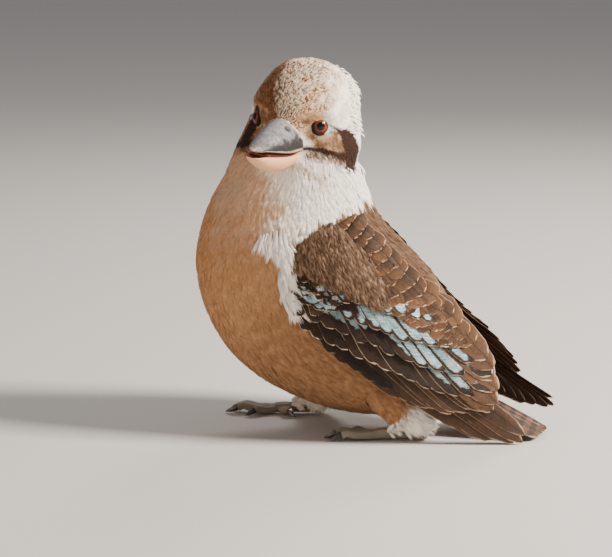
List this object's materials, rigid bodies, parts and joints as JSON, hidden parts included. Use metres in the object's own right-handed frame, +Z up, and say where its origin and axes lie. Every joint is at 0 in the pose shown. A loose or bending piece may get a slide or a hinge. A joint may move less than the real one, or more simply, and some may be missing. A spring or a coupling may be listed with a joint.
{
  "type": "laughing kookaburra",
  "caption": "Young kookaburra squatting on both feet, looking round over its left shoulder, bill a little open.",
  "frame": {"origin": "on the floor, under the middle of the whole bird's bounding box", "axes": "+Z up, the body faces -Y, the bird's left side is +X"},
  "size_m": [0.142, 0.2426, 0.2524],
  "materials": {
    "cream": "soft buff-cream body feathers",
    "white": "soft off-white down",
    "crown": "streaked cream and brown head feathers",
    "brown": "dark brown vanes with pale edges",
    "rufous": "barred rufous-brown vanes",
    "slate": "satin slate-grey horn",
    "horn": "satin peach-cream horn",
    "scaly": "scaly olive-cream skin",
    "claw": "dark glossy horn",
    "iris": "wet red-brown eye with a black pupil"
  },
  "bodies": {
    "root": {"torso": "cream", "neck": "white", "head": "crown", "eye_left": "iris", "eye_right": "iris", "bill_upper": "slate", "bill_lower": "horn", "wing_left": "brown", "wing_right": "brown", "tail": "rufous", "thigh_left": "white", "thigh_right": "white", "foot_left": "scaly", "foot_right": "scaly", "claw_left_inner": "claw", "claw_left_middle": "claw", "claw_left_outer": "claw", "claw_left_hind": "claw", "claw_right_inner": "claw", "claw_right_middle": "claw", "claw_right_outer": "claw", "claw_right_hind": "claw"}
  },
  "joints": []
}
